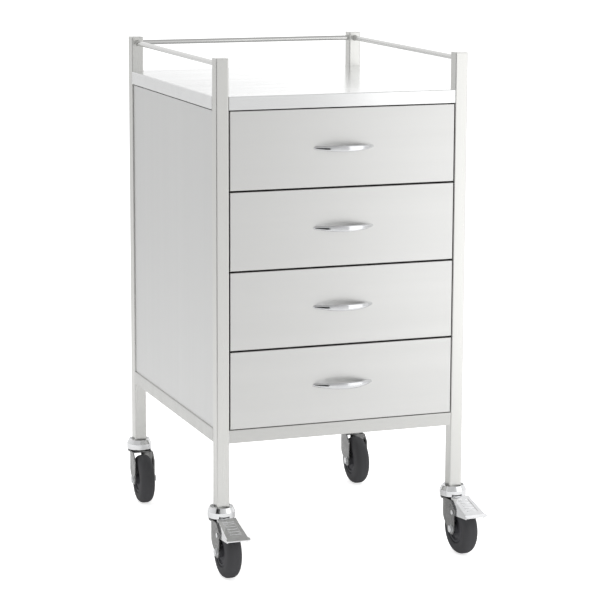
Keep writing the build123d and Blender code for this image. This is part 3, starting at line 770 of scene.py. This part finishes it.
@dataclass
class Drawer(SubAssembly):
    """One drawer with its handle and the slide members that move with it."""

    number: int
    sheet: float = 1.0 * MM
    slide_above_floor: float = 38.0 * MM
    rivet_inset: float = 60.0 * MM
    rivet_radius: float = 3.2 * MM
    rivet_height: float = 1.2 * MM
    rivet_steps: int = 24
    bow_thickness: float = 4.5 * MM
    bow_opening: float = 82.0 * MM
    bow_end_height: float = 7.0 * MM
    bow_steps: int = 56
    bow_sides: int = 32
    bow_squareness: float = 2.7

    @property
    def name(self) -> str:
        """Name of the drawer's body, which its nodes' names start with."""
        return f"drawer_{self.number}"

    def rivet_profile(self) -> list[tuple[float, float]]:
        """Outline of a blind rivet's head, with the stub of its mandrel.

        Returns:
            (radius, height) points from the mandrel to the rim.
        """
        r, h = self.rivet_radius, self.rivet_height
        head = [(0.0, 0.62 * h), (0.30 * r, 0.62 * h), (0.36 * r, 0.98 * h)]
        return head + [(0.62 * r, 0.90 * h), (0.88 * r, 0.52 * h), (r, 0.10 * h), (r, 0.0), (0.0, 0.0)]

    @staticmethod
    def arc(half_chord: float, rise: float, share: float) -> Vector:
        """Point on a circular arc that bulges towards -Y from the drawer's front.

        Args:
            half_chord: Half the distance between its ends.
            rise: How far it stands out at the middle.
            share: Place along it, from -1 at the left end to 1 at the right one.

        Returns:
            The point, with the chord's middle as origin.
        """
        radius = (half_chord**2 + rise**2) / (2 * rise)
        angle = share * math.asin(half_chord / radius)
        return Vector((radius * math.sin(angle), radius - rise - radius * math.cos(angle), 0))

    def build_bow(self) -> None:
        """Adds the bow handle, with a rounded section that is highest at its middle."""
        low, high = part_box(f"{self.name}_handle")
        origin = Vector(((low.x + high.x) / 2, high.y, (low.z + high.z) / 2))
        projection = high.y - low.y
        tall = high.z - low.z - self.bow_end_height
        mesh = bmesh.new()
        rings = []
        for step in range(self.bow_steps + 1):
            share = 2 * step / self.bow_steps - 1
            outer = self.arc((high.x - low.x) / 2, projection, share)
            inner = self.arc(self.bow_opening / 2, projection - self.bow_thickness, share)
            middle, reach = (outer + inner) / 2, (outer - inner) / 2
            rise = Vector((0, 0, (self.bow_end_height + tall * math.cos(share * math.pi / 2)) / 2))
            ring = []
            for side in range(self.bow_sides):
                angle = math.tau * side / self.bow_sides
                across, up = math.cos(angle), math.sin(angle)
                round_off = (abs(across) ** self.bow_squareness + abs(up) ** self.bow_squareness) ** (
                    -1 / self.bow_squareness
                )
                ring.append(mesh.verts.new(origin + middle + (reach * across + rise * up) * round_off))
            rings.append(ring)
        for first, second in zip(rings, rings[1:]):
            for side in range(self.bow_sides):
                after = (side + 1) % self.bow_sides
                mesh.faces.new((first[side], first[after], second[after], second[side]))
        for ring in (rings[0], rings[-1]):
            mesh.faces.new(ring)
        handle = piece(f"{self.name}_bow", mesh, HANDLE_CHROME, self.name)
        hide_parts(f"{self.name}_handle")

    def build_rivets(self) -> None:
        """Adds the rivets that hold the box to its slides."""
        low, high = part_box(f"{self.name}_box")
        height = low.z + self.slide_above_floor
        mesh = bmesh.new()
        for x, inwards in ((low.x + self.sheet, 1), (high.x - self.sheet, -1)):
            for y in (low.y + self.rivet_inset, (low.y + high.y) / 2, high.y - self.rivet_inset):
                place = along(Vector((inwards, 0, 0)), Vector((x, y, height)))
                lathe(mesh, self.rivet_profile(), place, steps=self.rivet_steps)
        piece(f"{self.name}_rivets", mesh, BRIGHT_ZINC, self.name)

    def build(self) -> None:
        """Adds the rivets and the bow handle."""
        self.build_rivets()
        self.build_bow()

    def dress(self) -> None:
        """Gives the drawer's nodes their finishes."""
        dress(FRONT_STEEL, f"{self.name}_front")
        dress(BOX_STEEL, f"{self.name}_box")
        dress(HANDLE_CHROME, f"{self.name}_handle")
        dress(BRIGHT_ZINC, f"{self.name}_handle_screws")
        dress(SLIDE_ZINC, f"{self.name}_slide_inners", f"{self.name}_slide_middles")


@dataclass
class Castor(SubAssembly):
    """One swivel castor, with a brake pedal at the front of the cart."""

    name: str
    braked: bool
    fork_half: float = 21.5 * MM
    bolt_radius: float = 4.0 * MM
    across_flats: float = 13.0 * MM
    head_height: float = 4.6 * MM
    washer_radius: float = 7.9 * MM
    washer_height: float = 1.1 * MM
    washer_edge: float = 0.25 * MM
    washer_steps: int = 64
    corner_share: float = 0.96
    hexagon_steps: int = 72
    bolt_chamfer: float = 0.8 * MM
    head_dimple: float = 0.01 * MM
    nut_collar_height: float = 0.9 * MM
    nut_collar_wall: float = 1.9 * MM
    hub_half: float = 11.0 * MM
    # radius, half width and height of each raised ring
    hub_rings: tuple[Point, ...] = ((14.5 * MM, 1.6 * MM, 0.7 * MM), (21.5 * MM, 1.2 * MM, 1.1 * MM))
    ring_root: float = 0.3 * MM
    ring_steps: int = 72
    pedal_back: float = 30.0 * MM
    pedal_top: float = 111.0 * MM
    pedal_slope: float = math.radians(16.6)
    pedal_length: float = 67.0 * MM
    tread_recess: float = 0.7 * MM
    tread_size: tuple[float, float] = (23.0 * MM, 46.0 * MM)
    rib_count: int = 5
    rib_width_share: float = 0.86
    rib_share: float = 0.42
    rib_height: float = 1.0 * MM
    rib_rise: float = 0.05 * MM
    rib_edge: float = 0.3 * MM

    def joint(self, suffix: str) -> dict:
        """Finds one of the castor's joints in the record.

        Args:
            suffix: What the joint's name ends with.

        Returns:
            The joint as the record gives it.
        """
        return next(joint for joint in frame["joints"] if joint["name"] == f"{self.name}_{suffix}")

    def axis(self) -> tuple[Vector, Vector]:
        """Centre and direction of the wheel's axle at rest."""
        roll = self.joint("wheel_roll")
        return Vector(roll["pos_m"]), Vector(roll["axis"]).normalized()

    def stand(self) -> Matrix:
        """Frame on the floor below the swivel axis, turned with the castor.

        Returns:
            The frame, with its X axis along the wheel's axle.
        """
        x, y, _ = self.joint("swivel_turn")["pos_m"]
        _, direction = self.axis()
        return Matrix.Translation((x, y, 0)) @ Matrix.Rotation(math.atan2(direction.y, direction.x), 4, "Z")

    def hexagon(self, mesh: bmesh.types.BMesh, place: Matrix, low: float, high: float, bore: float) -> None:
        """Adds a hexagon with turned corners.

        Args:
            mesh: Mesh that it is added to.
            place: Local frame, with Z along the bolt.
            low: Where it starts on the local Z axis.
            high: Where it ends.
            bore: Radius where its end face stops.
        """
        flat = self.across_flats / 2
        turned = flat * self.corner_share

        def six_sided(angle: float, number: int, size: float) -> tuple[float, float]:
            """Moves the two outer rings out to the flats and lowers the upper one at the corners.

            Args:
                angle: Angle round the bolt.
                number: The point's number in the profile.
                size: The point's radius.

            Returns:
                The new radius, and how far the point moves along the bolt.
            """
            if number not in (1, 2):
                return size, 0.0
            reach = flat / math.cos((angle % math.radians(60)) - math.radians(30))
            return reach, (-(reach - turned) * math.tan(math.radians(30)) if number == 2 else 0.0)

        profile = [(bore, low), (flat, low), (flat, high), (turned, high), (bore, high)]
        lathe(mesh, profile, place, steps=self.hexagon_steps, radius=six_sided)

    def build_bolt(self) -> None:
        """Adds the axle bolt with its head, washers and locking nut, in place of the plain one."""
        centre, direction = self.axis()
        place = along(direction, centre)
        outside = self.fork_half
        end = outside + self.head_height
        r = self.bolt_radius
        mesh = bmesh.new()
        tip = self.bolt_chamfer
        lathe(mesh, [(0.0, -outside), (r, -outside), (r, end - tip), (r - tip, end), (0.0, end)], place)
        rim, top = self.washer_radius, outside + self.washer_height
        edge = self.washer_edge
        washer = [(r, outside), (rim, outside), (rim, top - edge), (rim - edge, top), (r, top)]
        for side in (-1, 1):
            lathe(mesh, [(size, side * height) for size, height in washer], place, steps=self.washer_steps)
        turned_round = place @ Matrix.Rotation(math.pi, 4, "X")
        self.hexagon(mesh, turned_round, top, end, self.head_dimple)
        nut_top = end - self.nut_collar_height
        self.hexagon(mesh, place, top, nut_top, r)
        wall = self.nut_collar_wall
        collar = [(r, nut_top - tip), (r + wall, nut_top - tip), (r + wall, end - tip / 2)]
        collar += [(r + wall / 2, end - tip / 8), (r, end - tip / 8)]
        lathe(mesh, collar, place, steps=self.washer_steps)
        bolt = piece(f"{self.name}_axle_bolt", mesh, BRIGHT_ZINC, f"{self.name}_swivel")
        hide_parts(f"{self.name}_axle")

    def build_hub_rings(self) -> None:
        """Adds the raised rings on both faces of the hub."""
        centre, direction = self.axis()
        mesh = bmesh.new()
        for side in (-1, 1):
            place = along(direction * side, centre + direction * side * self.hub_half)
            for radius, width, height in self.hub_rings:
                half = [(width, -self.ring_root), (0.7 * width, 0.6 * height), (0.3 * width, height)]
                profile = [(radius + across, rise) for across, rise in half]
                profile += [(radius - across, rise) for across, rise in reversed(half)]
                lathe(mesh, profile, place, steps=self.ring_steps)
        piece(f"{self.name}_hub_rings", mesh, HUB_PLASTIC, f"{self.name}_wheel")

    def build_tread(self) -> None:
        """Adds the pressed ribs in the recess of the brake pedal."""
        middle = self.pedal_length / 2
        drop = self.pedal_length * math.tan(self.pedal_slope) / 2
        centre = self.stand() @ Matrix.Translation((0, -self.pedal_back - middle, self.pedal_top - drop))
        slope = Matrix.Rotation(self.pedal_slope, 4, "X")
        plate = centre @ slope @ Matrix.Translation((0, 0, -self.tread_recess))
        width, length = self.tread_size
        mesh = bmesh.new()
        pitch = length / self.rib_count
        for number in range(self.rib_count):
            offset = (number - (self.rib_count - 1) / 2) * pitch
            size = Vector((width * self.rib_width_share, pitch * self.rib_share, self.rib_height))
            rounded_bar(mesh, size, plate @ Matrix.Translation((0, offset, self.rib_rise)), self.rib_edge)
        piece(f"{self.name}_pedal_tread", mesh, BRIGHT_CHROME, f"{self.name}_pedal")

    def build(self) -> None:
        """Adds the bolt, the hub's rings and the pedal's tread."""
        self.build_bolt()
        self.build_hub_rings()
        if self.braked:
            self.build_tread()

    def dress(self) -> None:
        """Gives the castor's nodes their finishes."""
        dress(FORK_PLATE, f"{self.name}_fork")
        dress(BRIGHT_ZINC, f"{self.name}_axle")
        dress(HUB_PLASTIC, f"{self.name}_hub")
        dress(TYRE_RUBBER, f"{self.name}_tyre")
        if self.braked:
            dress(BRIGHT_CHROME, f"{self.name}_brake_pedal")


@dataclass
class CastorHeads(SubAssembly):
    """Collars, seals and bearings, which stay with the posts."""

    def build(self) -> None:
        """Adds nothing: the collars are complete."""

    def dress(self) -> None:
        """Gives the collars, seals and bearings their finishes."""
        dress(BRIGHT_CHROME, "castor_heads")
        dress(SEAL_RUBBER, "castor_seals")
        dress(BRIGHT_ZINC, "castor_bearings")


# ---------------------------------------------------------------- studio
@dataclass(frozen=True)
class SoftBox:
    """A rectangular studio light."""

    name: str
    place: Point
    target: Point
    size: tuple[float, float]
    watts: float
    mirrored: bool = False

    def build(self) -> None:
        """Adds the light, turned towards its target."""
        data = bpy.data.lights.new(self.name, "AREA")
        data.shape = "RECTANGLE"
        data.size, data.size_y = self.size
        data.energy = self.watts
        lamp = bpy.data.objects.new(self.name, data)
        bpy.context.scene.collection.objects.link(lamp)
        lamp.location = self.place
        lamp.rotation_mode = "QUATERNION"
        lamp.rotation_quaternion = (Vector(self.target) - Vector(self.place)).to_track_quat("-Z", "Y")
        lamp.visible_camera = False
        lamp.visible_glossy = self.mirrored
        LOG.info("lit %s", self.name)


@dataclass
class Studio:
    """Floor, soft light and camera."""

    floor_half: float = 60.0
    floor_cells: int = 24
    floor_colour: Colour = (0.90, 0.90, 0.90)
    floor_paler: float = 1.02
    floor_cloud_scale: float = 3.0
    # light that the floor gives off: to the camera alone, and to everything
    floor_lift: float = 0.52
    floor_glow: float = 0.15
    camera_place: Point = (-1.5562, -4.2816, 1.3212)
    yaw: float = math.radians(20.034)
    pitch: float = math.radians(9.905)
    roll: float = math.radians(0.207)
    lens: float = 140.03
    sensor: float = 36.0
    sight: float = 200.0
    rise: float = -0.05
    flag_place: tuple[float, float] = (-1.13, -1.13)
    flag_turn: float = math.radians(-45.0)
    flag_half: float = 0.55
    flag_top: float = 0.95
    # brightness of the surroundings by heading: degrees from the cart's front, towards its right
    headings: tuple[tuple[float, float], ...] = (
        (-180, 0.92), (-150, 0.90), (-115, 0.82), (-90, 0.75), (-64, 0.62), (-16, 0.62),
        (4, 0.70), (25, 0.85), (60, 0.95), (120, 0.98), (150, 1.30), (158, 1.30), (165, 0.98), (180, 0.92),
    )
    overhead: float = 0.50
    overhead_band: tuple[float, float] = (0.45, 0.95)
    boxes: tuple[SoftBox, ...] = (
        SoftBox(
            "overhead_softbox", place=(0.0, 0.0, 3.2), target=(0.0, 0.0, 0.0), size=(3.4, 3.4), watts=43.0
        ),
        SoftBox(
            "right_panel", place=(1.10, -1.25, 0.70), target=(0.30, -0.25, 0.55), size=(1.3, 1.4),
            watts=3.7, mirrored=True,
        ),
    )

    def build_flag(self) -> None:
        """Adds a dark upright board on the left, which only shows as a dark edge in polished metal."""
        x, y = self.flag_place
        half, top = self.flag_half, self.flag_top
        mesh = bmesh.new()
        corners = [(-half, 0.0), (half, 0.0), (half, top), (-half, top)]
        place = Matrix.Translation((x, y, 0)) @ Matrix.Rotation(self.flag_turn, 4, "Z")
        mesh.faces.new([mesh.verts.new(place @ Vector((across, 0, height))) for across, height in corners])
        data = bpy.data.meshes.new("flag")
        mesh.to_mesh(data)
        mesh.free()
        data.materials.append(FLAG_CLOTH.material())
        flag = bpy.data.objects.new("flag", data)
        bpy.context.scene.collection.objects.link(flag)
        flag.visible_camera = False
        flag.visible_diffuse = False
        flag.visible_shadow = False

    def build_floor(self) -> None:
        """Adds the floor, a very wide sheet."""
        mesh = bmesh.new()
        cells = self.floor_cells
        bmesh.ops.create_grid(mesh, x_segments=cells, y_segments=cells, size=self.floor_half)
        data = bpy.data.meshes.new("floor")
        mesh.to_mesh(data)
        mesh.free()
        data.materials.append(self.floor_material())
        floor = bpy.data.objects.new("floor", data)
        bpy.context.scene.collection.objects.link(floor)

    def floor_material(self) -> bpy.types.Material:
        """Matt studio paper, faintly uneven.

        Returns:
            The floor's material.
        """
        made = bpy.data.materials.new("studio_paper")
        made.use_nodes = True
        made.node_tree.nodes.clear()
        wiring = Wiring(made.node_tree)
        place = wiring.add("ShaderNodeTexCoord").outputs["Object"]
        inputs = {"Vector": place, "Scale": self.floor_cloud_scale, "Detail": 4.0}
        noise = wiring.add("ShaderNodeTexNoise", inputs)
        paler = tuple(channel * self.floor_paler for channel in self.floor_colour)
        tone = wiring.blend(noise.outputs["Fac"], self.floor_colour, paler)
        seen = wiring.add("ShaderNodeLightPath").outputs["Is Camera Ray"]
        lift = wiring.math("MULTIPLY_ADD", seen, self.floor_lift, self.floor_glow)
        inputs = {"Base Color": tone, "Roughness": 0.9, "Specular IOR Level": 0.0}
        inputs |= {"Emission Color": (1.0, 1.0, 1.0, 1.0), "Emission Strength": lift}
        shader = wiring.add("ShaderNodeBsdfPrincipled", inputs)
        wiring.add("ShaderNodeOutputMaterial", {"Surface": shader.outputs["BSDF"]})
        return made

    def build_world(self) -> None:
        """Surrounds the cart with soft light that is brighter on its right and darker beside the camera."""
        world = bpy.data.worlds.new("studio")
        bpy.context.scene.world = world
        world.use_nodes = True
        world.node_tree.nodes.clear()
        wiring = Wiring(world.node_tree)
        direction = wiring.add("ShaderNodeTexCoord").outputs["Generated"]
        axes = wiring.add("ShaderNodeSeparateXYZ", {0: direction}).outputs
        heading = wiring.math("ARCTAN2", axes["X"], wiring.math("MULTIPLY", axes["Y"], -1.0))
        share = wiring.math("MULTIPLY_ADD", heading, 1 / math.tau, 0.5)
        ramp = wiring.add("ShaderNodeValToRGB", {"Fac": share})
        ramp.color_ramp.interpolation = "EASE"
        stops = ramp.color_ramp.elements
        while len(stops) < len(self.headings):
            stops.new(0.5)
        brightest = max(value for _, value in self.headings)
        for stop, (degrees, value) in zip(stops, self.headings):
            stop.position = degrees / 360 + 0.5
            stop.color = (*[value / brightest] * 3, 1.0)
        level = wiring.math("MULTIPLY", ramp.outputs["Color"], brightest)
        upwards = wiring.spread(axes["Z"], self.overhead_band, 0.0, 1.0)
        rest = wiring.math("MULTIPLY", level, wiring.math("SUBTRACT", 1.0, upwards))
        strength = wiring.math("MULTIPLY_ADD", upwards, self.overhead, rest)
        seen = wiring.add("ShaderNodeLightPath").outputs["Is Camera Ray"]
        plain = wiring.add("ShaderNodeBackground", {"Color": (1.0, 1.0, 1.0, 1.0), "Strength": 1.0})
        soft = wiring.add("ShaderNodeBackground", {"Color": (1.0, 1.0, 1.0, 1.0), "Strength": strength})
        shown = wiring.add("ShaderNodeMixShader", {0: seen, 1: soft.outputs[0], 2: plain.outputs[0]})
        wiring.add("ShaderNodeOutputWorld", {"Surface": shown.outputs[0]})

    def build_camera(self) -> None:
        """Adds the camera, on the left in front of the cart and a little above its shelf."""
        data = bpy.data.cameras.new("camera")
        data.sensor_width = self.sensor
        data.lens = self.lens
        data.shift_y = self.rise
        data.clip_end = self.sight
        camera = bpy.data.objects.new("camera", data)
        bpy.context.scene.collection.objects.link(camera)
        turn = Matrix.Rotation(-self.yaw, 4, "Z") @ Matrix.Rotation(math.pi / 2 - self.pitch, 4, "X")
        turn @= Matrix.Rotation(self.roll, 4, "Z")
        camera.matrix_world = Matrix.Translation(self.camera_place) @ turn
        bpy.context.scene.camera = camera

    def build(self) -> None:
        """Sets the studio up."""
        self.build_floor()
        self.build_flag()
        self.build_world()
        for box in self.boxes:
            box.build()
        self.build_camera()
        bpy.context.scene.view_settings.view_transform = "Standard"


def main() -> None:
    """Builds and dresses each sub-assembly in order, then the studio."""
    logging.basicConfig(level=logging.INFO, format="%(message)s")
    assemblies: list[SubAssembly] = [Cabinet(), *[Drawer(number) for number in range(1, 5)], CastorHeads()]
    assemblies += [Castor("left_front", True), Castor("right_front", True)]
    assemblies += [Castor("left_rear", False), Castor("right_rear", False)]
    for assembly in assemblies:
        LOG.info("%s", assembly)
        assembly.build()
        assembly.dress()
    Studio().build()


if __name__ == "__main__":
    main()
